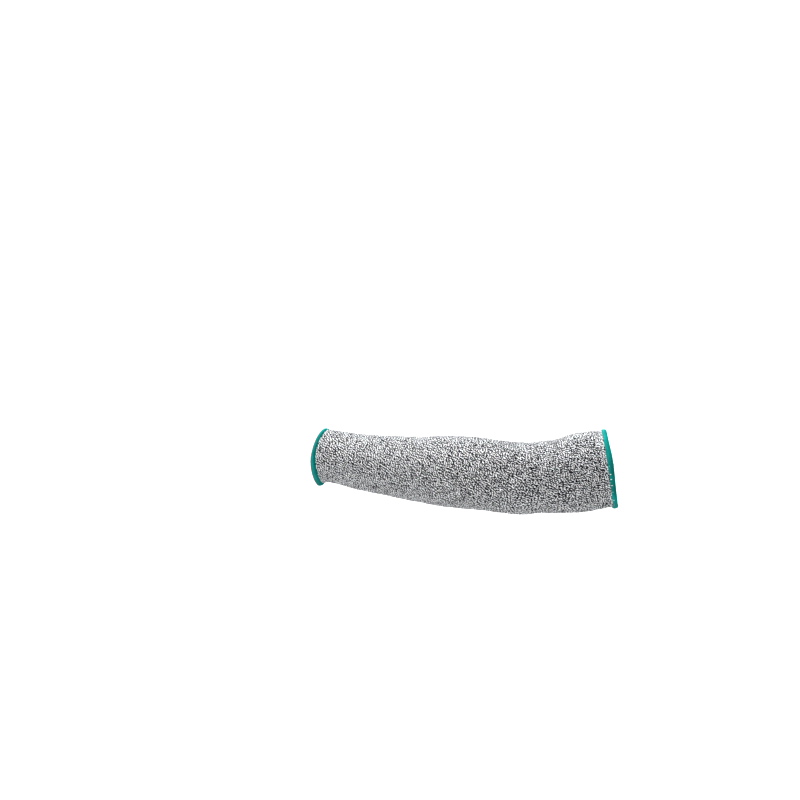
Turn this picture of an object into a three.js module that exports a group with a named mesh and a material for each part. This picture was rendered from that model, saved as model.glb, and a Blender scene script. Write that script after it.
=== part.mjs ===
// Cut resistant sleeve, worn form: a seamless knitted tube for one arm,
// finished at each end with a rolled overlock hem.
// Millimetres. The origin is the middle of the hollow at the elbow.
// The wrist end points to -X, the upper-arm end to +X, +Z is up, -Y is the front.

import * as THREE from 'three';

// Sizes of the worn form, over the outside of the knit
const SLEEVE_LENGTH = 347; // between the middles of the two hems, along X
const WRIST_HEIGHT = 63.5;
const WRIST_DEPTH = 48;
const UPPER_ARM_HEIGHT = 86.5;
const UPPER_ARM_DEPTH = 83;
const BEND_RISE = 17; // how far the wrist end stands above the elbow
const BEND_BACK = 20; // how far the two ends stand behind the elbow
const HEM_LEAN = 2.9; // how far the top of the wrist hem leans towards the elbow
const FOLD_DEPTH = 1.8; // the deepest fold that the arm presses into the knit

// Cloth and hem sizes
const KNIT_WALL = 1.5;
const HEM_WIDTH = 6; // along the arm
const HEM_THICKNESS = 5; // through the rolled edge
const LIP_THICKNESS = 0.9; // hem on each side of the knit, where the knit goes in
const SLOT_DEPTH = 3.5; // how far the hem wraps the knit
const FIT_GAP = 0.3; // between the knit and the hem

// How finely the surfaces are divided
const STEPS_ALONG = 50;
const STEPS_ROUND = 40;
const STEPS_HEM = 8;

// Of the arm's section: 2 is a plain oval, less is more pointed at its top and front
const WRIST_SQUARENESS = 1.72;
const UPPER_ARM_SQUARENESS = 2.12;

// The arm's form, wrist to upper arm.
// along: share of SLEEVE_LENGTH, from the elbow
// tall, deep: how far the section has grown, 0 at the wrist's size, 1 at the upper arm's
// rise: share of BEND_RISE
// back: share of BEND_BACK
// lean: share of HEM_LEAN, below zero where the top leans to the wrist
const SECTIONS = [
  { along: -0.72, tall: 0, deep: 0, rise: 1, back: 1.18, lean: 1 },
  { along: -0.66, tall: 0, deep: 0.04, rise: 0.93, back: 0.98, lean: 0.8 },
  { along: -0.59, tall: 0.1, deep: 0.15, rise: 0.72, back: 0.82, lean: 0.45 },
  { along: -0.52, tall: 0.22, deep: 0.29, rise: 0.57, back: 0.69, lean: 0.15 },
  { along: -0.45, tall: 0.36, deep: 0.45, rise: 0.46, back: 0.57, lean: 0 },
  { along: -0.38, tall: 0.53, deep: 0.62, rise: 0.36, back: 0.46, lean: 0 },
  { along: -0.31, tall: 0.71, deep: 0.76, rise: 0.3, back: 0.34, lean: 0 },
  { along: -0.24, tall: 0.83, deep: 0.85, rise: 0.26, back: 0.23, lean: 0 },
  { along: -0.17, tall: 0.88, deep: 0.87, rise: 0.21, back: 0.12, lean: 0 },
  { along: -0.11, tall: 0.84, deep: 0.85, rise: 0.13, back: 0.04, lean: 0 },
  { along: -0.05, tall: 0.82, deep: 0.81, rise: 0.03, back: 0, lean: 0 },
  { along: 0, tall: 0.84, deep: 0.8, rise: -0.02, back: 0, lean: 0 },
  { along: 0.04, tall: 0.82, deep: 0.81, rise: 0.03, back: 0.06, lean: 0 },
  { along: 0.08, tall: 0.82, deep: 0.83, rise: 0.1, back: 0.17, lean: 0 },
  { along: 0.12, tall: 0.88, deep: 0.87, rise: 0.17, back: 0.28, lean: 0 },
  { along: 0.16, tall: 1.05, deep: 0.91, rise: 0.3, back: 0.41, lean: -0.05 },
  { along: 0.2, tall: 1.13, deep: 0.94, rise: 0.47, back: 0.55, lean: -0.15 },
  { along: 0.24, tall: 1.07, deep: 0.98, rise: 0.61, back: 0.69, lean: -0.3 },
  { along: 0.28, tall: 1, deep: 1, rise: 0.72, back: 0.83, lean: -0.45 },
];

// Soft folds and hollows that the arm presses into the knit.
// along: share of SLEEVE_LENGTH, from the elbow
// turn: degrees round the arm, 0 at the front, 90 at the top
// long, wide: reach along the arm (share of SLEEVE_LENGTH) and round it (degrees)
// slant: degrees of turn that the fold drifts in one SLEEVE_LENGTH
// lift: share of FOLD_DEPTH, below zero for a hollow
const FOLDS = [
  { along: -0.035, turn: 16, long: 0.1, wide: 13, slant: -110, lift: -1 },
  { along: 0.13, turn: -4, long: 0.08, wide: 9, slant: -150, lift: -0.75 },
  { along: 0.01, turn: 56, long: 0.05, wide: 14, slant: 0, lift: 0.6 },
  { along: 0.1, turn: 22, long: 0.06, wide: 11, slant: -120, lift: 0.6 },
  { along: -0.02, turn: -42, long: 0.08, wide: 13, slant: 60, lift: 0.5 },
  { along: 0.045, turn: -72, long: 0.022, wide: 24, slant: 0, lift: -0.6 },
  { along: -0.72, turn: -88, long: 0.02, wide: 24, slant: 0, lift: 1.4 },
  { along: -0.6, turn: 12, long: 0.07, wide: 20, slant: 0, lift: 0.6 },
  { along: -0.3, turn: -18, long: 0.14, wide: 18, slant: -40, lift: -0.4 },
  { along: 0.04, turn: 118, long: 0.03, wide: 22, slant: 160, lift: -0.9 },
  { along: 0.02, turn: 158, long: 0.09, wide: 15, slant: 120, lift: -0.9 },
  { along: 0.12, turn: 176, long: 0.05, wide: 12, slant: 140, lift: 0.6 },
  { along: -0.06, turn: 205, long: 0.07, wide: 14, slant: -90, lift: 0.5 },
  { along: -0.35, turn: 170, long: 0.12, wide: 20, slant: 50, lift: -0.4 },
];

// A smooth curve through one column of the sections table
function sectionValue(column, along) {
  const last = SECTIONS.length - 1;
  const slope = (i) => {
    const before = SECTIONS[Math.max(i - 1, 0)];
    const after = SECTIONS[Math.min(i + 1, last)];
    return (after[column] - before[column]) / (after.along - before.along);
  };
  let i = 0;
  while (i < last - 1 && along > SECTIONS[i + 1].along) i += 1;
  const step = SECTIONS[i + 1].along - SECTIONS[i].along;
  const t = (along - SECTIONS[i].along) / step;
  const rise = SECTIONS[i + 1][column] - SECTIONS[i][column];
  const leave = t * (1 - t) ** 2 * step * slope(i);
  const arrive = t ** 2 * (t - 1) * step * slope(i + 1);
  return SECTIONS[i][column] + t ** 2 * (3 - 2 * t) * rise + leave + arrive;
}

// The middle of the hollow
function middle(along) {
  return new THREE.Vector3(
    along * SLEEVE_LENGTH,
    sectionValue('back', along) * BEND_BACK,
    sectionValue('rise', along) * BEND_RISE,
  );
}

function foldLift(along, turn) {
  let lift = 0;
  for (const fold of FOLDS) {
    const away = (along - fold.along) / fold.long;
    const centre = fold.turn + fold.slant * (along - fold.along);
    const round = ((((turn - centre) % 360) + 540) % 360) - 180;
    lift += fold.lift * Math.exp(-(away ** 2) - (round / fold.wide) ** 2);
  }
  return lift * FOLD_DEPTH;
}

// A point of the outer surface. The section stands square to the arm, but for its lean.
function armPoint(along, turn) {
  const reach = 0.002;
  const direction = middle(along + reach).sub(middle(along - reach)).normalize();
  const front = direction.clone().cross(new THREE.Vector3(0, 0, 1)).normalize();
  const up = front.clone().cross(direction);
  const grown = sectionValue('deep', along);
  const tall = THREE.MathUtils.lerp(WRIST_HEIGHT, UPPER_ARM_HEIGHT, sectionValue('tall', along));
  const deep = THREE.MathUtils.lerp(WRIST_DEPTH, UPPER_ARM_DEPTH, grown);
  const squareness = THREE.MathUtils.lerp(WRIST_SQUARENESS, UPPER_ARM_SQUARENESS, grown);
  const lift = foldLift(along, turn);
  const angle = THREE.MathUtils.degToRad(turn);
  const oval = (value) => Math.sign(value) * Math.abs(value) ** (2 / squareness);
  return middle(along)
    .addScaledVector(direction, oval(Math.sin(angle)) * sectionValue('lean', along) * HEM_LEAN)
    .addScaledVector(front, oval(Math.cos(angle)) * (deep / 2 + lift))
    .addScaledVector(up, oval(Math.sin(angle)) * (tall / 2 + lift));
}

// The cloth's middle surface: a place on it, the way along the arm, the way out
function clothPoint(along, turn) {
  const forward = armPoint(along + 0.001, turn).sub(armPoint(along - 0.001, turn)).normalize();
  const round = armPoint(along, turn + 0.5).sub(armPoint(along, turn - 0.5)).normalize();
  const out = forward.clone().cross(round).normalize();
  const place = armPoint(along, turn).addScaledVector(out, -KNIT_WALL / 2);
  return { place, forward, out };
}

// A closed solid from equal closed outlines, one for each step round the arm
function solidRoundArm(outlines) {
  const points = outlines.flat();
  const count = outlines[0].length;
  const faces = [];
  outlines.forEach((outline, j) => {
    const next = ((j + 1) % outlines.length) * count;
    for (let k = 0; k < count; k += 1) {
      const a = j * count + k;
      const b = j * count + ((k + 1) % count);
      const c = next + ((k + 1) % count);
      const d = next + k;
      faces.push(a, b, c, a, c, d);
    }
  });
  let volume = 0;
  for (let f = 0; f < faces.length; f += 3) {
    const [p, q, r] = faces.slice(f, f + 3).map((index) => points[index]);
    volume += p.dot(q.clone().cross(r));
  }
  if (volume < 0) faces.reverse();
  const geometry = new THREE.BufferGeometry().setFromPoints(points);
  geometry.setIndex(faces);
  geometry.computeVertexNormals();
  return geometry;
}

const TURNS = Array.from({ length: STEPS_ROUND }, (_, j) => (j * 360) / STEPS_ROUND);
const WRIST_END = { at: SECTIONS[0].along, outward: -1 };
const UPPER_ARM_END = { at: SECTIONS[SECTIONS.length - 1].along, outward: 1 };

// The cloth runs straight from here into the hem, so the gap round it stays even
const STRAIGHT_END = HEM_WIDTH / 2 + 2 * FIT_GAP;
const startOfStraight = (end) => end.at - (end.outward * STRAIGHT_END) / SLEEVE_LENGTH;

// A place on the straight end of the cloth, reach millimetres past the hem's middle
function endOfCloth(end, turn, reach) {
  const { place, forward, out } = clothPoint(startOfStraight(end), turn);
  const outward = forward.clone().multiplyScalar(end.outward);
  place.addScaledVector(outward, STRAIGHT_END + reach);
  return { place, outward, out };
}

// The knitted tube, open at both ends
function knitSleeve() {
  const edge = SLOT_DEPTH - HEM_WIDTH / 2 - FIT_GAP;
  const first = startOfStraight(WRIST_END);
  const last = startOfStraight(UPPER_ARM_END);
  const outlines = TURNS.map((turn) => {
    const wall = [endOfCloth(WRIST_END, turn, edge)];
    for (let i = 0; i <= STEPS_ALONG; i += 1) {
      wall.push(clothPoint(THREE.MathUtils.lerp(first, last, i / STEPS_ALONG), turn));
    }
    wall.push(endOfCloth(UPPER_ARM_END, turn, edge));
    const side = (away) => wall.map(({ place, out }) => place.clone().addScaledVector(out, away));
    return [...side(KNIT_WALL / 2), ...side(-KNIT_WALL / 2).reverse()];
  });
  return solidRoundArm(outlines);
}

// The hem's outline as [along, out] pairs: a bead with a slot for the knit,
// blunt where the knit goes in and round at its outer edge
function hemOutline() {
  const slot = KNIT_WALL / 2 + FIT_GAP;
  const lip = slot + LIP_THICKNESS;
  const half = HEM_WIDTH / 2;
  const crown = HEM_THICKNESS / 2;
  const over = [];
  for (let k = 0; k <= STEPS_HEM; k += 1) {
    const along = -half * Math.cos((Math.PI * k) / STEPS_HEM);
    const share = Math.min(Math.abs(along) / half, 1);
    const blunt = crown - (crown - lip) * share ** 3;
    const round = crown * Math.sqrt(1 - share ** 2.2);
    over.push([along, along < 0 ? blunt : round]);
  }
  const under = over.slice(0, -1).reverse().map(([along, out]) => [along, -out]);
  const bottom = SLOT_DEPTH - half;
  return [[-half, slot], ...over, ...under, [-half, -slot], [bottom, -slot], [bottom, slot]];
}

// One rolled hem round an end of the sleeve, placed on its own middle
function rolledHem(end) {
  const centre = middle(end.at);
  const outline = hemOutline();
  const outlines = TURNS.map((turn) => {
    const { place, outward, out } = endOfCloth(end, turn, 0);
    return outline.map(([along, away]) => place.clone()
      .addScaledVector(outward, along)
      .addScaledVector(out, away)
      .sub(centre));
  });
  return { geometry: solidRoundArm(outlines), centre };
}

function addPiece(group, name, geometry, material, place) {
  const mesh = new THREE.Mesh(geometry, material);
  mesh.name = name;
  mesh.position.copy(place);
  group.add(mesh);
}

const marledKnit = new THREE.MeshStandardMaterial({ color: 0x9c9d9d, roughness: 0.95, metalness: 0 });
marledKnit.name = 'marled_knit';
const tealThread = new THREE.MeshStandardMaterial({ color: 0x1f8f80, roughness: 0.75, metalness: 0 });
tealThread.name = 'teal_overlock_thread';

const sleeve = new THREE.Group();
sleeve.name = 'cut_resistant_sleeve';
addPiece(sleeve, 'knit_sleeve', knitSleeve(), marledKnit, new THREE.Vector3());
const wristHem = rolledHem(WRIST_END);
addPiece(sleeve, 'wrist_hem', wristHem.geometry, tealThread, wristHem.centre);
const upperArmHem = rolledHem(UPPER_ARM_END);
addPiece(sleeve, 'upper_arm_hem', upperArmHem.geometry, tealThread, upperArmHem.centre);

export default sleeve;
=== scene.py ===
# Cut resistant sleeve in its worn form: a knitted tube with an overlocked hem at each end.
# Metres. The origin is the middle of the hollow at the elbow, the wrist end points to -X,
# the upper-arm end to +X, +Z is up and the front that the photograph shows faces -Y.

import math

import bpy
import numpy as np
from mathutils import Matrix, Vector


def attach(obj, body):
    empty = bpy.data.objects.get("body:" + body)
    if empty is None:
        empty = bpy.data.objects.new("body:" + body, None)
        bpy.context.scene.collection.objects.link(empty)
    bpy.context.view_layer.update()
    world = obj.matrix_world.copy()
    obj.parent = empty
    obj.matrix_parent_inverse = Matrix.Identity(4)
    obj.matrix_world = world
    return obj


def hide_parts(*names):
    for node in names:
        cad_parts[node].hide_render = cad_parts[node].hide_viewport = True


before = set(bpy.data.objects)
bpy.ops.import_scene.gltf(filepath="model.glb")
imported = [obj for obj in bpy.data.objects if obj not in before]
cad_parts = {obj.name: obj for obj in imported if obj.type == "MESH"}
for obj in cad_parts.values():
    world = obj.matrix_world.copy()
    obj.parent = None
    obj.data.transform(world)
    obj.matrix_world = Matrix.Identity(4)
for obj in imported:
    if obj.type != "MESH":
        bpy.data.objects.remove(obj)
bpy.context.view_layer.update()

# Sizes of the worn form, over the outside of the knit
SLEEVE_LENGTH = 0.347
WRIST_HEIGHT = 0.0635
WRIST_DEPTH = 0.048
UPPER_ARM_HEIGHT = 0.0865
UPPER_ARM_DEPTH = 0.083
BEND_RISE = 0.017
BEND_BACK = 0.020
HEM_LEAN = 0.0029
FOLD_DEPTH = 0.0018
WRIST_SQUARENESS = 1.72
UPPER_ARM_SQUARENESS = 2.12

# Cloth and hem sizes. WRAP_LENGTH is the thread in one wrap of a hem.
KNIT_WALL = 0.0015
HEM_WIDTH = 0.006
HEM_THICKNESS = 0.005
WRAP_LENGTH = 0.014
SLOT_DEPTH = 0.0035
FIT_GAP = 0.0003

# The sleeve laid flat
FLAT_LENGTH = 0.356

# The knit's count: stitch columns round the sleeve, stitch rows along it
WALES = 120
COURSES = 300
COURSE_SIZE = FLAT_LENGTH / COURSES
WRIST_WALE = 0.0013
UPPER_ARM_WALE = 0.0022

# Marl streaks that one cell of their texture holds
WAVES_A_CELL = 1.7

# The yarn's balance of dark to white plies, beside the hems and in the rest of the cloth,
# and the courses over which one turns into the other
HEM_BALANCE = 0.5
CLOTH_BALANCE = 0.14
BALANCE_COURSES = (0.5, 5.0)

# How finely the cloth's mesh is divided
STEPS_ROUND = 360
STEPS_ALONG = 244
STEPS_INSIDE = 26

# The cloth's unevenness: its slow waves, its yarns, and the share of the sleeve's length over
# which the hold of the hems fades out
UNEVEN_WAVES = 60
UNEVEN_HEIGHT = 0.00022
YARN_HEIGHT = 0.00005
HEM_HOLD = 0.03

# Where the cloth's sides and cut edges lie in the bake map
BAKE_OUTSIDE_WIDTH = 0.76
BAKE_INSIDE_START = 0.78
BAKE_INSIDE_WIDTH = 0.18
BAKE_WRIST_EDGE = (0.965, 0.978)
BAKE_UPPER_EDGE = (0.985, 0.998)

# The arm's form, wrist to upper arm, with all but along as shares of the sizes above
SECTION_COLUMNS = ("along", "tall", "deep", "rise", "back", "lean")
SECTIONS = (
    (-0.72, 0, 0, 1, 1.18, 1),
    (-0.66, 0, 0.04, 0.93, 0.98, 0.8),
    (-0.59, 0.1, 0.15, 0.72, 0.82, 0.45),
    (-0.52, 0.22, 0.29, 0.57, 0.69, 0.15),
    (-0.45, 0.36, 0.45, 0.46, 0.57, 0),
    (-0.38, 0.53, 0.62, 0.36, 0.46, 0),
    (-0.31, 0.71, 0.76, 0.3, 0.34, 0),
    (-0.24, 0.83, 0.85, 0.26, 0.23, 0),
    (-0.17, 0.88, 0.87, 0.21, 0.12, 0),
    (-0.11, 0.84, 0.85, 0.13, 0.04, 0),
    (-0.05, 0.82, 0.81, 0.03, 0, 0),
    (0, 0.84, 0.8, -0.02, 0, 0),
    (0.04, 0.82, 0.81, 0.03, 0.06, 0),
    (0.08, 0.82, 0.83, 0.1, 0.17, 0),
    (0.12, 0.88, 0.87, 0.17, 0.28, 0),
    (0.16, 1.05, 0.91, 0.3, 0.41, -0.05),
    (0.2, 1.13, 0.94, 0.47, 0.55, -0.15),
    (0.24, 1.07, 0.98, 0.61, 0.69, -0.3),
    (0.28, 1, 1, 0.72, 0.83, -0.45),
)

# Soft folds that the arm presses into the knit. turn is in degrees, 0 at the front and
# 90 at the top, and slant is the turn's drift in one SLEEVE_LENGTH.
FOLD_COLUMNS = ("along", "turn", "long", "wide", "slant", "lift")
FOLDS = (
    (-0.035, 16, 0.1, 13, -110, -1),
    (0.13, -4, 0.08, 9, -150, -0.75),
    (0.01, 56, 0.05, 14, 0, 0.6),
    (0.1, 22, 0.06, 11, -120, 0.6),
    (-0.02, -42, 0.08, 13, 60, 0.5),
    (0.045, -72, 0.022, 24, 0, -0.6),
    (-0.72, -88, 0.02, 24, 0, 1.4),
    (-0.6, 12, 0.07, 20, 0, 0.6),
    (-0.3, -18, 0.14, 18, -40, -0.4),
    (0.04, 118, 0.03, 22, 160, -0.9),
    (0.02, 158, 0.09, 15, 120, -0.9),
    (0.12, 176, 0.05, 12, 140, 0.6),
    (-0.06, 205, 0.07, 14, -90, 0.5),
    (-0.35, 170, 0.12, 20, 50, -0.4),
)

# Where each hem is wider: its turn, its reach in degrees, and how much further it goes over
# the cloth and over the mouth
WRIST_HEM_WIDE = (-55, 58, 0.0028, 0)
UPPER_HEM_WIDE = (14, 26, 0, 0.0014)

# The hem's core under the threads, as a share of the hem's size
CORE_SHARE = 0.8

# The knot where each hem's threads start and end: its turn and how much thicker it is
WRIST_KNOT = (-88, 0.36)
UPPER_KNOT = (-80, 0.36)

# The knot's reach round the hem in degrees, and how far from its middle the thread's dark
# colour starts to fade and ends
KNOT_REACH = 9
KNOT_SHADE = (0.006, 0.026)

# Loops that show between the upper hem's threads: turn and size. Their place and their reach
# across the hem are shares of half its width. LOOP_SINK is how deep they start below the
# hem's face, LOOP_RISE how far they arch and LOOP_LENGTH the yarn in one.
PEEKING_LOOPS = (
    (8, 0.4),
    (-2.5, 0.95),
    (-9.3, 1),
    (-18.3, 1),
    (-29.5, 0.5),
    (-46, 0.5),
    (-60, 0.35),
)
LOOP_PLACE = -0.33
LOOP_REACH = 0.2
LOOP_RISE = 0.0003
LOOP_SINK = 0.0005
LOOP_LENGTH = 0.003

# The threads' twist, in radians a metre
TWIST_A_METRE = 9000.0

# Thread colours, light and dark plies
TEAL = ((0.001, 0.40, 0.37), (0.0, 0.19, 0.175))
# SHADED_TEAL is painted shade: a darker copy of the teal for the hem cores, which show between
# the threads.
SHADED_TEAL = ((0.003, 0.10, 0.085), (0.001, 0.05, 0.043))
WHITE_YARN = ((0.9, 0.9, 0.88), (0.7, 0.7, 0.68))

# Colours of the marled yarn's plies
WHITE_PLY = (0.845, 0.865, 0.88, 1)
GREY_PLY = (0.155, 0.16, 0.166, 1)
BLACK_PLY = (0.012, 0.012, 0.014, 1)

# Each end as its place along the arm and its way out
WRIST_END = (SECTIONS[0][0], -1)
UPPER_ARM_END = (SECTIONS[-1][0], 1)

# The cloth runs straight from here into the hem
STRAIGHT_END = HEM_WIDTH / 2 + 2 * FIT_GAP

FULL_TURN = 2 * math.pi


# The arm's form

def between(low, high, share):
    return low + (high - low) * share


def unit(vectors):
    return vectors / np.linalg.norm(vectors, axis=-1, keepdims=True)


def section_value(column, along):
    """A smooth curve through one column of the sections table."""
    at = np.array([row[0] for row in SECTIONS])
    value = np.array([row[SECTION_COLUMNS.index(column)] for row in SECTIONS], dtype=float)
    slope = np.empty(len(at))
    slope[1:-1] = (value[2:] - value[:-2]) / (at[2:] - at[:-2])
    slope[0] = (value[1] - value[0]) / (at[1] - at[0])
    slope[-1] = (value[-1] - value[-2]) / (at[-1] - at[-2])
    i = np.clip(np.searchsorted(at, along, side="left") - 1, 0, len(at) - 2)
    step = at[i + 1] - at[i]
    t = (along - at[i]) / step
    curve = t**2 * (3 - 2 * t) * (value[i + 1] - value[i])
    leave = t * (1 - t) ** 2 * step * slope[i]
    arrive = t**2 * (t - 1) * step * slope[i + 1]
    return value[i] + curve + leave + arrive


def middle(along):
    """The middle of the hollow."""
    back = section_value("back", along) * BEND_BACK
    rise = section_value("rise", along) * BEND_RISE
    return np.stack((along * SLEEVE_LENGTH, back, rise), axis=-1)


def near_turn(turn, centre, reach):
    """A smooth share from 1 at the centre to nearly 0 at twice the reach, in degrees."""
    return np.exp(-(((turn - centre + 180) % 360 - 180) / reach) ** 2)


def fold_lift(along, turn):
    lift = np.zeros(np.broadcast(along, turn).shape)
    for row in FOLDS:
        fold = dict(zip(FOLD_COLUMNS, row))
        away = (along - fold["along"]) / fold["long"]
        centre = fold["turn"] + fold["slant"] * (along - fold["along"])
        lift += fold["lift"] * np.exp(-(away**2)) * near_turn(turn, centre, fold["wide"])
    return lift * FOLD_DEPTH


def arm_point(along, turn):
    """A point of the outer surface. The section stands square to the arm, but for its lean."""
    reach = 0.002
    direction = unit(middle(along + reach) - middle(along - reach))
    front = unit(np.cross(direction, (0.0, 0.0, 1.0)))
    up = np.cross(front, direction)
    grown = section_value("deep", along)
    tall = between(WRIST_HEIGHT, UPPER_ARM_HEIGHT, section_value("tall", along))
    deep = between(WRIST_DEPTH, UPPER_ARM_DEPTH, grown)
    power = 2 / between(WRIST_SQUARENESS, UPPER_ARM_SQUARENESS, grown)
    lift = fold_lift(along, turn)
    cosine, sine = np.cos(np.radians(turn)), np.sin(np.radians(turn))
    across = np.sign(cosine) * np.abs(cosine) ** power
    upward = np.sign(sine) * np.abs(sine) ** power
    lean = upward * section_value("lean", along) * HEM_LEAN
    return (
        middle(along)
        + direction * lean[..., None]
        + front * (across * (deep / 2 + lift))[..., None]
        + up * (upward * (tall / 2 + lift))[..., None]
    )


def cloth_point(along, turn):
    """A place on the cloth's middle surface, the way along the arm, the way out."""
    reach, swing = 0.001, 0.5
    forward = unit(arm_point(along + reach, turn) - arm_point(along - reach, turn))
    around = unit(arm_point(along, turn + swing) - arm_point(along, turn - swing))
    out = unit(np.cross(forward, around))
    return arm_point(along, turn) - out * KNIT_WALL / 2, forward, out


def end_of_cloth(end, turn, reach):
    """A place on the cloth's straight end, reach past the hem's middle, the ways on and out."""
    at, outward = end
    along = np.full(np.shape(turn), at - outward * STRAIGHT_END / SLEEVE_LENGTH)
    place, forward, out = cloth_point(along, turn)
    onward = forward * outward
    return place + onward * (STRAIGHT_END + np.asarray(reach))[..., None], onward, out


def hem_round(end):
    """The length of a hem round the arm."""
    steps = 720
    turn = np.arange(steps) * 360.0 / steps
    ring = end_of_cloth(end, turn, np.zeros(steps))[0]
    return float(np.linalg.norm(np.roll(ring, -1, axis=0) - ring, axis=-1).sum())


# Meshes

def grid_faces(rows, columns, first=0, close_rows=False):
    """Quads of a grid of points that closes round its columns, and over its rows if asked."""
    i, j = np.meshgrid(np.arange(rows - (not close_rows)), np.arange(columns), indexing="ij")
    down, after = (i + 1) % rows, (j + 1) % columns
    corners = (i * columns + j, down * columns + j, down * columns + after, i * columns + after)
    return first + np.stack(corners, axis=-1).reshape(-1, 4)


def corner_pairs(u, v):
    """A UV pair for each corner of grid_faces, from grids of values one column wider."""
    pairs = np.stack(np.broadcast_arrays(u, v), axis=-1)
    corners = (pairs[:-1, :-1], pairs[1:, :-1], pairs[1:, 1:], pairs[:-1, 1:])
    return np.stack(corners, axis=-2).reshape(-1, 4, 2)


def grid_pairs(u, v):
    """UV pairs of grid_faces, from the values at each row and at each column's edge."""
    return corner_pairs(np.asarray(u)[:, None], np.asarray(v)[None, :])


def mesh_piece(name, points, faces, material, uv_maps):
    """A piece of the sleeve. uv_maps give one pair for each corner of each face."""
    mesh = bpy.data.meshes.new(name)
    mesh.from_pydata(points.tolist(), [], faces.tolist())
    for uv_name, pairs in uv_maps.items():
        layer = mesh.uv_layers.new(name=uv_name)
        layer.data.foreach_set("uv", pairs.astype(np.float32).ravel())
    mesh.polygons.foreach_set("use_smooth", [True] * len(mesh.polygons))
    mesh.materials.append(material)
    piece = bpy.data.objects.new(name, mesh)
    bpy.context.scene.collection.objects.link(piece)
    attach(piece, "root")
    return piece


def tube_points(path, guide, radius, sides):
    """Rings of a round thread along paths, one ring a step. guide points beside each path."""
    ahead = unit(np.roll(path, -1, axis=-2) - np.roll(path, 1, axis=-2))
    beside = unit(guide - ahead * (guide * ahead).sum(axis=-1, keepdims=True))
    over = np.cross(ahead, beside)
    angle = np.arange(sides)[:, None] * FULL_TURN / sides
    ring = beside[..., None, :] * np.cos(angle) + over[..., None, :] * np.sin(angle)
    return path[..., None, :] + ring * radius


# Shader nodes

FLOAT = "NodeSocketFloat"
VECTOR = "NodeSocketVector"
COLOUR = "NodeSocketColor"


class Nodes:
    """Adds nodes to one tree and links them."""

    def __init__(self, tree):
        self.tree = tree

    def put(self, socket, value):
        if isinstance(value, bpy.types.NodeSocket):
            self.tree.links.new(value, socket)
        else:
            socket.default_value = value

    def add(self, kind, settings=None, inputs=None):
        """A node with its settings and its inputs, by socket name or number."""
        node = self.tree.nodes.new(kind)
        for name, value in (settings or {}).items():
            setattr(node, name, value)
        for key, value in (inputs or {}).items():
            self.put(node.inputs[key], value)
        return node

    def math(self, operation, *values, clamp=False):
        node = self.add("ShaderNodeMath", {"operation": operation, "use_clamp": clamp})
        for socket, value in zip(node.inputs, values):
            self.put(socket, value)
        return node.outputs[0]

    def spread(self, value, times):
        """Stretches a value's distance from a half, and keeps it between 0 and 1."""
        off = self.math("SUBTRACT", value, 0.5)
        return self.math("MULTIPLY_ADD", off, times, 0.5, clamp=True)

    def vector(self, x, y, z=0.0):
        return self.add("ShaderNodeCombineXYZ", inputs={"X": x, "Y": y, "Z": z}).outputs[0]

    def split(self, vector):
        return self.add("ShaderNodeSeparateXYZ", inputs={0: vector}).outputs

    def mix(self, share, low, high):
        inputs = {0: share, 2: low, 3: high}
        return self.add("ShaderNodeMix", {"data_type": "FLOAT"}, inputs).outputs[0]

    def mix_colour(self, share, low, high, blend="MIX"):
        settings = {"data_type": "RGBA", "blend_type": blend}
        return self.add("ShaderNodeMix", settings, {0: share, 6: low, 7: high}).outputs[2]

    def step(self, value, low, high):
        """A smooth step from 0 at low to 1 at high."""
        settings = {"interpolation_type": "SMOOTHSTEP"}
        return self.add("ShaderNodeMapRange", settings, {0: value, 1: low, 2: high}).outputs[0]

    def noise(self, place, scale, detail=2.0, roughness=0.5):
        inputs = {"Vector": place, "Scale": scale, "Detail": detail, "Roughness": roughness}
        return self.add("ShaderNodeTexNoise", inputs=inputs).outputs[0]

    def group(self, group, inputs):
        return self.add("ShaderNodeGroup", {"node_tree": group}, inputs).outputs


def new_group(name, inputs, outputs):
    """A shader node group from (name, kind, value) inputs and (name, kind) outputs."""
    group = bpy.data.node_groups.new(name, "ShaderNodeTree")
    for label, kind, value in inputs:
        socket = group.interface.new_socket(name=label, in_out="INPUT", socket_type=kind)
        if value is not None:
            socket.default_value = value
    for label, kind in outputs:
        group.interface.new_socket(name=label, in_out="OUTPUT", socket_type=kind)
    given = group.nodes.new("NodeGroupInput").outputs
    made = group.nodes.new("NodeGroupOutput").inputs
    return group, Nodes(group), given, made


def new_material(name):
    material = bpy.data.materials.new(name)
    material.use_nodes = True
    shader = material.node_tree.nodes["Principled BSDF"].inputs
    return material, Nodes(material.node_tree), shader


def stitch_group():
    """Plain knit from course and wale numbers: V stitches of two leaning yarn legs."""
    group, n, given, made = new_group(
        "knit stitches",
        [("Count", VECTOR, None), ("Lean", FLOAT, 1.1)],
        [("Height", FLOAT), ("Leg", VECTOR), ("Along Leg", FLOAT), ("Across Leg", FLOAT)],
    )
    course_number, wale_number, _ = n.split(given["Count"])
    wale = n.math("SUBTRACT", n.math("FRACT", wale_number), 0.5)
    away = n.math("MULTIPLY", n.math("ABSOLUTE", wale), 2.0)
    course = n.math("SUBTRACT", course_number, n.math("MULTIPLY", away, given["Lean"]))
    across = n.math("MULTIPLY_ADD", n.math("FRACT", course), 2.0, -1.0)
    bow = n.math("MULTIPLY_ADD", away, 2.0, -1.0)
    round_yarn = n.math("SQRT", n.math("SUBTRACT", 1.0, n.math("POWER", across, 2.0)))
    dive = n.math("SUBTRACT", 1.0, n.math("POWER", n.math("ABSOLUTE", bow), 3.0))
    half_wale = n.math("FLOOR", n.math("MULTIPLY", wale_number, 2.0))
    n.put(made["Height"], n.math("MULTIPLY", round_yarn, dive))
    n.put(made["Leg"], n.vector(n.math("FLOOR", course), half_wale))
    n.put(made["Along Leg"], away)
    n.put(made["Across Leg"], across)
    return group


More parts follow.
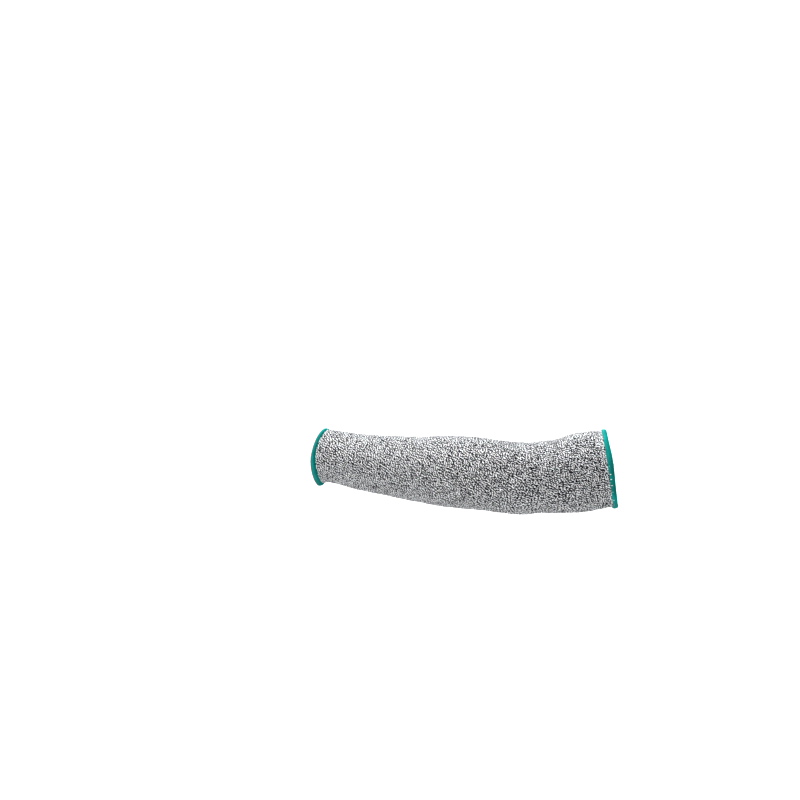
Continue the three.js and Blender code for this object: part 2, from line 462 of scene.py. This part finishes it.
def marl_group():
    """A yarn of black, grey and white plies as its stitch legs show it on the knit's face."""
    group, n, given, made = new_group(
        "marled yarn",
        [
            ("Leg", VECTOR, None),
            ("Along Leg", FLOAT, 0.0),
            ("Across Leg", FLOAT, 0.0),
            ("Fibre", FLOAT, 0.5),
            ("Period", FLOAT, 0.00235),
            ("Orientation", FLOAT, 0.65),
            ("Order", FLOAT, 0.45),
            ("Balance", FLOAT, 0.5),
        ],
        [("Colour", COLOUR)],
    )
    chance = n.add(
        "ShaderNodeTexWhiteNoise", {"noise_dimensions": "2D"}, {"Vector": given["Leg"]}
    ).outputs[0]
    course, half_wale, _ = n.split(given["Leg"])
    growth = (UPPER_ARM_WALE - WRIST_WALE) / COURSES
    wale_size = n.math("MULTIPLY_ADD", course, growth, WRIST_WALE)
    from_front = n.math("MULTIPLY", n.math("WRAP", half_wale, WALES, -WALES), 0.5)
    around = n.math("MULTIPLY", from_front, wale_size)
    streak = n.add(
        "ShaderNodeTexGabor",
        inputs={
            "Vector": n.vector(n.math("MULTIPLY", course, COURSE_SIZE), around),
            "Scale": n.math("DIVIDE", 1 / WAVES_A_CELL, given["Period"]),
            "Frequency": WAVES_A_CELL,
            "Anisotropy": given["Order"],
            4: given["Orientation"],
        },
    ).outputs[0]

    # Each part's share in the tone that tells black, grey and white plies apart
    streak_share, ply_share, lot_share, fibre_share = 9.0, 0.3, 0.2, 0.3
    start = n.math("MULTIPLY", chance, FULL_TURN)
    twist = n.math("MULTIPLY_ADD", given["Along Leg"], 5.0, start)
    twist = n.math("MULTIPLY_ADD", given["Across Leg"], 1.4, twist)
    lot = n.math("SUBTRACT", chance, 0.5)
    fibre = n.math("SUBTRACT", given["Fibre"], 0.5)
    tone = n.math("MULTIPLY", n.math("SUBTRACT", streak, 0.5), streak_share)
    tone = n.math("MULTIPLY_ADD", n.math("SINE", twist), ply_share, tone)
    tone = n.math("MULTIPLY_ADD", lot, lot_share, tone)
    tone = n.math("MULTIPLY_ADD", fibre, fibre_share, tone)
    tone = n.math("ADD", tone, given["Balance"])

    # A ply is black below 0.2, grey at 0.42 and white above 0.6
    white = n.step(tone, 0.42, 0.6)
    black = n.math("SUBTRACT", 1.0, n.step(tone, 0.2, 0.42))
    grey_or_white = n.mix_colour(white, GREY_PLY, WHITE_PLY)
    n.put(made["Colour"], n.mix_colour(black, grey_or_white, BLACK_PLY))
    return group


def knit_material(stitches, marl):
    material, n, shader = new_material("marled knit")
    count = n.add("ShaderNodeUVMap", {"uv_map": "Stitches"}).outputs[0]
    place = n.add("ShaderNodeTexCoord").outputs["Object"]
    stitch = n.group(stitches, {"Count": count})
    fibre = n.noise(place, 3200.0, 2.0, 0.6)
    course = n.split(count)[0]
    to_hem = n.math("MINIMUM", course, n.math("SUBTRACT", COURSES, course))
    balance = n.mix(n.step(to_hem, *BALANCE_COURSES), HEM_BALANCE, CLOTH_BALANCE)
    yarn = n.group(
        marl,
        {
            "Leg": stitch["Leg"],
            "Along Leg": stitch["Along Leg"],
            "Across Leg": stitch["Across Leg"],
            "Fibre": fibre,
            "Balance": balance,
        },
    )
    # Painted shade: the yarn's colour is darkened down to 0.55 in the grooves between the stitch
    # legs.
    groove_shade = n.mix(stitch["Height"], 0.55, 1.0)
    shade = n.vector(groove_shade, groove_shade, groove_shade)
    n.put(shader["Base Color"], n.mix_colour(1.0, yarn["Colour"], shade, "MULTIPLY"))
    n.put(shader["Roughness"], n.mix(fibre, 0.75, 0.95))
    shader["Specular IOR Level"].default_value = 0.25
    height = n.math("MULTIPLY_ADD", fibre, 0.25, stitch["Height"])
    bump = n.add("ShaderNodeBump", inputs={"Strength": 0.6, "Distance": 0.0005, "Height": height})
    n.put(shader["Normal"], bump.outputs[0])
    return material


def thread_group():
    """Twisted fine plies, darker near the knot.

    Shaded Side 1 darkens the hem's side at the cloth, -1 at the mouth.
    """
    group, n, given, made = new_group(
        "twisted thread",
        [
            ("Place", VECTOR, None),
            ("Thread", VECTOR, None),
            ("Light", COLOUR, None),
            ("Dark", COLOUR, None),
            ("Shaded Side", FLOAT, 0.0),
            ("Knot", VECTOR, None),
        ],
        [("Colour", COLOUR), ("Roughness", FLOAT), ("Height", FLOAT)],
    )
    length, side, _ = n.split(given["Thread"])
    fibre = n.noise(given["Place"], 2600.0, 2.0, 0.6)
    patch = n.noise(given["Place"], 90.0, 2.0, 0.5)
    start = n.math("MULTIPLY", side, FULL_TURN)
    twist = n.math("SINE", n.math("MULTIPLY_ADD", length, TWIST_A_METRE, start))
    shade = n.math("MULTIPLY", n.math("ADD", fibre, patch), 0.5)
    side_of_hem = n.math("COSINE", n.math("MULTIPLY", length, FULL_TURN / WRAP_LENGTH))
    shadow = n.step(n.math("MULTIPLY", side_of_hem, given["Shaded Side"]), 0.1, 0.95)
    to_knot = {0: given["Place"], 1: given["Knot"]}
    away = n.add("ShaderNodeVectorMath", {"operation": "DISTANCE"}, to_knot).outputs["Value"]
    # Darker near the knot: the thread's light share falls to a tenth there.
    loose = n.mix(n.step(away, *KNOT_SHADE), 0.1, 1.0)
    share = n.math("MULTIPLY", n.spread(shade, 2.2), n.mix(shadow, 1.0, 0.1))
    share = n.math("MULTIPLY", share, loose)
    ridge = n.math("MULTIPLY_ADD", twist, 0.5, 0.5)
    n.put(made["Colour"], n.mix_colour(share, given["Dark"], given["Light"]))
    n.put(made["Roughness"], n.mix(fibre, 0.45, 0.65))
    n.put(made["Height"], n.math("MULTIPLY_ADD", fibre, 0.5, ridge))
    return group


def thread_material(name, twisted, colours, shaded_side=0.0, knot=(0.0, 0.0, 0.0)):
    """A material of light and dark plies. No thread is near the knot's place if none is given."""
    material, n, shader = new_material(name)
    light, dark = colours
    thread = n.group(
        twisted,
        {
            "Place": n.add("ShaderNodeTexCoord").outputs["Object"],
            "Thread": n.add("ShaderNodeUVMap", {"uv_map": "Thread"}).outputs[0],
            "Light": (*light, 1),
            "Dark": (*dark, 1),
            "Shaded Side": shaded_side,
            "Knot": knot,
        },
    )
    n.put(shader["Base Color"], thread["Colour"])
    n.put(shader["Roughness"], thread["Roughness"])
    shader["Specular IOR Level"].default_value = 0.3
    relief = {"Strength": 0.35, "Distance": 0.0001, "Height": thread["Height"]}
    n.put(shader["Normal"], n.add("ShaderNodeBump", inputs=relief).outputs[0])
    return material


# The knitted tube

def soft_unevenness(along, turn):
    """Slow small waves of the cloth's surface, closed round the arm."""
    draw = np.random.default_rng(5)
    height = np.zeros(np.broadcast(along, turn).shape)
    for _ in range(UNEVEN_WAVES):
        waves_round = draw.integers(-9, 10)
        waves_along = draw.uniform(3, 30)
        size = draw.uniform(0.5, 1) / math.hypot(waves_round, waves_along / 2)
        shift = draw.uniform(0, FULL_TURN)
        phase = np.radians(turn) * waves_round + along * FULL_TURN * waves_along + shift
        height += size * np.cos(phase)
    return height * UNEVEN_HEIGHT


def cloth_surface(steps, turn, away):
    """Rows of points from hem to hem, away from the cloth's middle surface."""
    along = np.linspace(
        WRIST_END[0] + STRAIGHT_END / SLEEVE_LENGTH,
        UPPER_ARM_END[0] - STRAIGHT_END / SLEEVE_LENGTH,
        steps + 1,
    )
    edge = np.full(len(turn), SLOT_DEPTH - HEM_WIDTH / 2 - FIT_GAP)
    place, _, out = cloth_point(along[:, None], turn[None, :])
    offset = away(along[:, None], turn[None, :])
    tips = []
    for end, row in ((WRIST_END, 0), (UPPER_ARM_END, -1)):
        tip, _, tip_out = end_of_cloth(end, turn, edge)
        tips.append((tip + tip_out * offset[row][:, None])[None])
    return np.concatenate((tips[0], place + out * offset[..., None], tips[1]))


def outer_offset(along, turn):
    """Half the wall, with the cloth's unevenness fading out where the hems hold it."""
    first, last = along.min(), along.max()
    loose = np.clip(np.minimum(along - first, last - along) / HEM_HOLD, 0, 1)
    draw = np.random.default_rng(7)
    yarn = draw.normal(0, YARN_HEIGHT, np.broadcast(along, turn).shape)
    return KNIT_WALL / 2 + loose * (soft_unevenness(along, turn) + yarn)


def inner_offset(along, turn):
    return np.full(np.broadcast(along, turn).shape, -KNIT_WALL / 2)


def wale_numbers(rings):
    """How many wales lie between each ring's first point and each point of it."""
    steps = np.linalg.norm(np.roll(rings, -1, axis=1) - rings, axis=-1)
    walked = np.concatenate((np.zeros((len(rings), 1)), np.cumsum(steps, axis=1)), axis=1)
    return walked / walked[:, -1:] * WALES


def knit_cloth(material):
    """The cloth as one closed shell: outside, inside and the two cut edges in the hems."""
    turn = np.arange(STEPS_ROUND) * 360.0 / STEPS_ROUND
    outside = cloth_surface(STEPS_ALONG, turn, outer_offset)
    inside = cloth_surface(STEPS_INSIDE, turn, inner_offset)
    points = np.concatenate((outside.reshape(-1, 3), inside.reshape(-1, 3)))

    under = outside.shape[0] * STEPS_ROUND
    last_outside = under - STEPS_ROUND
    last_inside = len(points) - STEPS_ROUND
    here = np.arange(STEPS_ROUND)
    after = np.roll(here, -1)
    wrist_edge = (here, after, under + after, under + here)
    upper_edge = (
        last_outside + after, last_outside + here, last_inside + here, last_inside + after,
    )
    faces = np.concatenate(
        (
            grid_faces(len(outside), STEPS_ROUND),
            grid_faces(len(inside), STEPS_ROUND, under)[:, ::-1],
            np.stack(wrist_edge, axis=-1),
            np.stack(upper_edge, axis=-1),
        )
    )

    long_out, long_in = np.linspace(0, 1, len(outside)), np.linspace(0, 1, len(inside))
    round_arm = np.linspace(0, 1, STEPS_ROUND + 1)
    wrist_corners, upper_corners = [0, 3, 2, 1], [3, 0, 1, 2]
    bake = (
        grid_pairs(long_out, round_arm * BAKE_OUTSIDE_WIDTH),
        grid_pairs(long_in, BAKE_INSIDE_START + round_arm * BAKE_INSIDE_WIDTH)[:, ::-1],
        grid_pairs(BAKE_WRIST_EDGE, round_arm)[:, wrist_corners],
        grid_pairs(BAKE_UPPER_EDGE, round_arm)[:, upper_corners],
    )
    stitches = (
        corner_pairs(long_out[:, None] * COURSES, wale_numbers(outside)),
        corner_pairs(long_in[:, None] * COURSES, wale_numbers(inside))[:, ::-1],
        grid_pairs((0.0, 1.0), round_arm * WALES)[:, wrist_corners],
        grid_pairs((0.0, 1.0), round_arm * WALES)[:, upper_corners],
    )
    return mesh_piece(
        "knit_cloth", points, faces, material,
        {"OFBake": np.concatenate(bake)[..., ::-1], "Stitches": np.concatenate(stitches)},
    )


# The rolled hems

def hem_profile(angle, half, crown):
    """The bead's outline: blunt where the knit goes in, round at its outer edge."""
    blunt, rounded = 0.55, 0.9
    sine = np.sin(angle)
    power = np.where(np.cos(angle) > 0, blunt, rounded)
    return -half * np.cos(angle), crown * np.sign(sine) * np.abs(sine) ** power


def hem_widening(turn, angle, wide):
    """How much further a hem reaches over the cloth, or over the mouth, where it is wide."""
    wide_turn, wide_reach, over_cloth, over_mouth = wide
    further = np.where(np.cos(angle) > 0, over_cloth, over_mouth)
    return near_turn(turn, wide_turn, wide_reach) * further


def hem_core(name, end, material, wide):
    """The rolled edge under the threads."""
    steps_round, steps_over = 200, 18
    turn = np.arange(steps_round) * 360.0 / steps_round
    rows = []
    for angle in np.arange(steps_over) * FULL_TURN / steps_over:
        half = HEM_WIDTH / 2 * CORE_SHARE + hem_widening(turn, angle, wide)
        reach, height = hem_profile(angle, half, HEM_THICKNESS / 2 * CORE_SHARE)
        place, _, out = end_of_cloth(end, turn, reach)
        rows.append(place + out * height)
    faces = grid_faces(steps_over, steps_round, close_rows=True)
    shares = grid_pairs(np.linspace(0, 1, steps_over + 1), np.linspace(0, 1, steps_round + 1))
    if end == UPPER_ARM_END:
        faces, shares = faces[:, ::-1], shares[:, ::-1]
    lengths = shares * (WRAP_LENGTH, hem_round(end))
    return mesh_piece(
        name, np.concatenate(rows), faces, material,
        {"OFBake": shares, "Thread": lengths[..., ::-1]},
    )


def hem_threads(name, end, material, knot, wide, seed):
    """Looper threads wrapped over the rolled edge, thicker where they start and end."""
    pitch, radius, sides, steps = 0.00088, 0.00038, 5, 14
    slant_mean, slant_spread, size_spread = 0.5, 0.15, 0.015
    wraps = round(hem_round(end) / pitch)
    draw = np.random.default_rng(seed)
    wrap = np.repeat(np.arange(wraps), steps)
    step = np.arange(wraps * steps)
    angle = step * FULL_TURN / steps
    turn = step * 360.0 / len(step)
    slant = draw.normal(slant_mean, slant_spread, wraps)[wrap] * 360.0 / wraps * np.cos(angle)
    knot_turn, knot_size = knot
    swell = 1 + knot_size * near_turn(turn, knot_turn, KNOT_REACH)
    swell += draw.normal(0, size_spread, wraps)[wrap]
    half = (HEM_WIDTH / 2 - radius) * swell + hem_widening(turn, angle, wide)
    crown = (HEM_THICKNESS / 2 - radius) * swell
    along, away = hem_profile(angle, half, crown)
    place, onward, out = end_of_cloth(end, turn + slant, along)
    path = place + out * away[:, None]
    guide = np.cross(onward, out)
    points = tube_points(path, guide, radius, sides).reshape(-1, 3)
    faces = grid_faces(len(step), sides, close_rows=True)
    thread = grid_pairs(np.arange(len(step) + 1.0), np.linspace(0, 1, sides + 1))
    wrap_of_face = np.repeat(wrap, sides)[:, None]
    bake = np.empty_like(thread)
    bake[..., 0] = (wrap_of_face + thread[..., 1] * 0.96 + 0.02) / wraps
    bake[..., 1] = thread[..., 0] / steps - wrap_of_face
    lengths = thread * (WRAP_LENGTH / steps, 1.0)
    return mesh_piece(
        name, points, faces, material,
        {"OFBake": bake, "Thread": lengths},
    )


def knot_place(end, knot):
    """The middle of the hem where its threads' knot lies."""
    place = end_of_cloth(end, np.array([float(knot[0])]), np.zeros(1))[0]
    return tuple(float(value) for value in place[0])


def peeking_loops(name, end, material):
    """White yarn loops of the knit that the upper hem's threads leave showing."""
    steps, sides, radius = 12, 6, 0.00042
    draw = np.random.default_rng(21)
    rest = [(turn + draw.uniform(-2, 2), draw.uniform(0.3, 0.5)) for turn in range(96, 290, 12)]
    loops = PEEKING_LOOPS + tuple(rest)
    angle = np.arange(steps) * FULL_TURN / steps
    points, faces, pairs = [], [], []
    for turn, size in loops:
        reach = (LOOP_PLACE + size * LOOP_REACH * np.cos(angle)) * HEM_WIDTH / 2
        place, onward, out = end_of_cloth(end, np.full(steps, turn), reach)
        rise = HEM_THICKNESS / 2 - LOOP_SINK + size * LOOP_RISE * (1 + np.sin(angle))
        path = place + out * rise[:, None]
        guide = np.cross(onward, out)
        faces.append(grid_faces(steps, sides, len(points) * steps * sides, close_rows=True))
        points.append(tube_points(path, guide, radius * math.sqrt(size), sides).reshape(-1, 3))
        pairs.append(grid_pairs(np.arange(steps + 1.0), np.linspace(0, 1, sides + 1)))
    shares = np.concatenate(pairs)
    first = np.repeat(np.arange(len(loops)), steps * sides)[:, None]
    across = (first + shares[..., 1] * 0.9 + 0.05) / len(loops)
    bake = np.stack((across, shares[..., 0] / steps), axis=-1)
    return mesh_piece(
        name, np.concatenate(points), np.concatenate(faces), material,
        {"OFBake": bake, "Thread": shares * (LOOP_LENGTH / steps, 1.0)},
    )


def build_sleeve():
    knit = knit_cloth(knit_material(stitch_group(), marl_group()))
    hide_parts("knit_sleeve")

    twisted = thread_group()
    # The hem cores take the teal with painted shade.
    shaded = thread_material("shaded teal core", twisted, SHADED_TEAL)
    white_yarn = thread_material("white yarn", twisted, WHITE_YARN)
    wrist_thread = thread_material(
        "teal wrist thread", twisted, TEAL,
        shaded_side=1.0, knot=knot_place(WRIST_END, WRIST_KNOT),
    )
    upper_thread = thread_material(
        "teal upper arm thread", twisted, TEAL,
        shaded_side=-0.75, knot=knot_place(UPPER_ARM_END, UPPER_KNOT),
    )

    wrist_core = hem_core("wrist_hem_core", WRIST_END, shaded, WRIST_HEM_WIDE)
    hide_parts("wrist_hem")
    hem_threads("wrist_hem_threads", WRIST_END, wrist_thread, WRIST_KNOT, WRIST_HEM_WIDE, seed=11)

    upper_core = hem_core("upper_arm_hem_core", UPPER_ARM_END, shaded, UPPER_HEM_WIDE)
    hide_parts("upper_arm_hem")
    hem_threads(
        "upper_arm_hem_threads", UPPER_ARM_END, upper_thread, UPPER_KNOT, UPPER_HEM_WIDE, seed=12
    )
    peeking_loops("upper_arm_peeking_loops", UPPER_ARM_END, white_yarn)


# The studio

FLOOR_DROP = 0.6
SWEEP_START = 1.2
SWEEP_RADIUS = 1.2
SWEEP_STEPS = 16
BACKDROP_TOP = 5.0
FLOOR_HALF = 6.0

AIR_LIGHT = 0.6
SLEEVE_MIDDLE = (-0.08, 0, 0)

CAMERA_AZIMUTH = math.radians(17)
CAMERA_ELEVATION = math.radians(3)
CAMERA_LENS = 65.0
SENSOR = 36.0
FRAME_PIXELS = 800
ELBOW_PIXEL = (522, 478)
METRES_A_PIXEL = 0.00114
PHOTOGRAPH_CONTRAST = 0.74


def studio_floor():
    """A pale floor that sweeps up into the backdrop behind the sleeve."""
    profile = [(-FLOOR_HALF, 0.0)]
    for angle in np.linspace(0, math.pi / 2, SWEEP_STEPS):
        back = SWEEP_START + math.sin(angle) * SWEEP_RADIUS
        profile.append((back, (1 - math.cos(angle)) * SWEEP_RADIUS))
    profile.append((SWEEP_START + SWEEP_RADIUS, BACKDROP_TOP))
    points = [(x, y, z - FLOOR_DROP) for y, z in profile for x in (-FLOOR_HALF, FLOOR_HALF)]
    faces = [(2 * i, 2 * i + 1, 2 * i + 3, 2 * i + 2) for i in range(len(profile) - 1)]
    material, n, shader = new_material("pale floor")
    place = n.add("ShaderNodeTexCoord").outputs["Object"]
    grain = n.noise(place, 60.0, 3.0, 0.6)
    n.put(shader["Base Color"], n.mix_colour(grain, (0.93, 0.93, 0.93, 1), (0.95, 0.95, 0.95, 1)))
    shader["Roughness"].default_value = 0.9
    shader["Specular IOR Level"].default_value = 0.1
    mesh = bpy.data.meshes.new("studio_floor")
    mesh.from_pydata(points, [], faces)
    mesh.polygons.foreach_set("use_smooth", [True] * len(faces))
    mesh.materials.append(material)
    floor = bpy.data.objects.new("studio_floor", mesh)
    bpy.context.scene.collection.objects.link(floor)


def area_light(name, place, target, size, power):
    light = bpy.data.lights.new(name, "AREA")
    light.shape = "SQUARE"
    light.size = size
    light.energy = power
    lamp = bpy.data.objects.new(name, light)
    lamp.location = place
    lamp.rotation_mode = "QUATERNION"
    lamp.rotation_quaternion = (Vector(target) - Vector(place)).to_track_quat("-Z", "Y")
    bpy.context.scene.collection.objects.link(lamp)


def studio_light():
    world = bpy.data.worlds.new("studio air")
    world.use_nodes = True
    background = world.node_tree.nodes["Background"].inputs
    background["Color"].default_value = (1, 1, 1, 1)
    background["Strength"].default_value = AIR_LIGHT
    scene = bpy.context.scene
    scene.world = world
    area_light("overhead", (-0.25, -0.05, 0.95), SLEEVE_MIDDLE, size=0.9, power=15.8)
    area_light("left fill", (-1.6, -1.3, 0.4), SLEEVE_MIDDLE, size=1.2, power=31)
    area_light("right fill", (0.8, -0.55, 0.2), (0.06, 0, 0), size=0.4, power=1.6)
    area_light("backdrop left", (-1.2, 0.7, 2.4), (-0.8, 2.4, 0.6), size=1.6, power=40)
    area_light("backdrop right", (1.2, 0.7, 2.4), (0.8, 2.4, 0.6), size=1.6, power=40)
    scene.view_settings.view_transform = "Standard"
    scene.view_settings.look = "None"
    scene.view_settings.gamma = PHOTOGRAPH_CONTRAST


def photograph_camera():
    """The camera stands where the elbow's middle falls on its pixel at its real scale."""
    azimuth, elevation = CAMERA_AZIMUTH, CAMERA_ELEVATION
    ahead = Vector((
        -math.sin(azimuth) * math.cos(elevation),
        math.cos(azimuth) * math.cos(elevation),
        -math.sin(elevation),
    ))
    right = Vector((math.cos(azimuth), math.sin(azimuth), 0))
    up = right.cross(ahead)
    distance = CAMERA_LENS / SENSOR * FRAME_PIXELS * METRES_A_PIXEL
    beside = (ELBOW_PIXEL[0] - FRAME_PIXELS / 2) * METRES_A_PIXEL
    below = (ELBOW_PIXEL[1] - FRAME_PIXELS / 2) * METRES_A_PIXEL
    lens = bpy.data.cameras.new("photograph camera")
    lens.lens = CAMERA_LENS
    lens.sensor_width = SENSOR
    camera = bpy.data.objects.new("photograph camera", lens)
    camera.location = up * below - ahead * distance - right * beside
    camera.rotation_mode = "QUATERNION"
    camera.rotation_quaternion = ahead.to_track_quat("-Z", "Y")
    bpy.context.scene.collection.objects.link(camera)
    bpy.context.scene.camera = camera


build_sleeve()
studio_floor()
studio_light()
photograph_camera()
